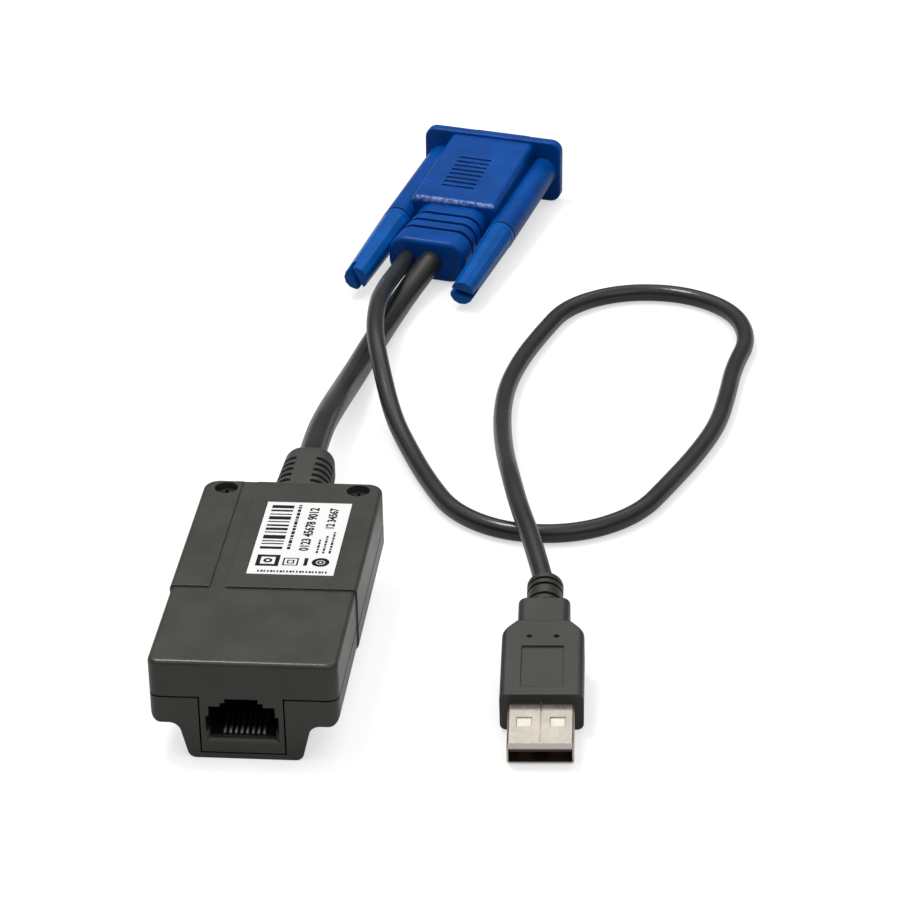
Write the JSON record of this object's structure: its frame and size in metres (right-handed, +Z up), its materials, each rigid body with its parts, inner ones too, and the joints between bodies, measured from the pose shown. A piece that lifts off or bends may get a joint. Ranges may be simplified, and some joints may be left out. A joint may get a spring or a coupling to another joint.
{
  "type": "kvm server dongle",
  "caption": "Small plastic network module with a socket at one end and, on short cables at the other, a video plug with thumbscrews and a USB plug.",
  "frame": {"origin": "on the table, under the middle of the housing", "axes": "X across the housing, -Y out of the network socket and +Y out of the cable end, Z up"},
  "size_m": [0.1031, 0.2671, 0.0201],
  "materials": {
    "housing": "fine satin, moulded ABS",
    "jack": "smooth",
    "gold": "polished",
    "board": "solder mask on glass fibre laminate",
    "chip": "moulded",
    "steel": "drawn can",
    "screw": "black oxide steel",
    "label": "white film label",
    "relief": "matt soft PVC",
    "cable": "satin PVC jacket",
    "blue": "satin, moulded PVC and nylon",
    "nickel": "nickel plate, slightly brushed",
    "moulding": "moulded PVC",
    "carrier": "smooth"
  },
  "bodies": {
    "dongle": {"top_cover": "housing", "bottom_shell": "housing", "network_jack": "jack", "jack_contacts": "gold", "circuit_board": "board", "processor_chip": "chip", "video_chip": "chip", "clock_crystal": "steel", "usb_chip": "chip", "cable_header": "jack", "capacitors": "chip", "cable_cores": "cable", "housing_screws": "screw", "label": "label", "strain_relief": "relief", "main_cable": "cable", "video_hood": "blue", "video_shell": "nickel", "video_insulator": "jack", "video_pins": "gold", "usb_cable": "cable", "usb_moulding": "moulding", "usb_shell": "nickel", "usb_carrier": "carrier", "usb_contacts": "gold"},
    "thumbscrew_left": {"thumbscrew_knob_left": "blue", "thumbscrew_screw_left": "nickel"},
    "thumbscrew_right": {"thumbscrew_knob_right": "blue", "thumbscrew_screw_right": "nickel"}
  },
  "joints": [
    {"name": "thumbscrew_left_turn", "type": "hinge", "parent": "dongle", "child": "thumbscrew_left", "pos_m": [0.00259, 0.19454, 0.007], "axis": [0.2059, 0.9772, 0.0514], "continuous": true},
    {"name": "thumbscrew_right_turn", "type": "hinge", "parent": "dongle", "child": "thumbscrew_right", "pos_m": [0.02705, 0.18943, 0.00617], "axis": [0.2059, 0.9772, 0.0514], "continuous": true}
  ]
}
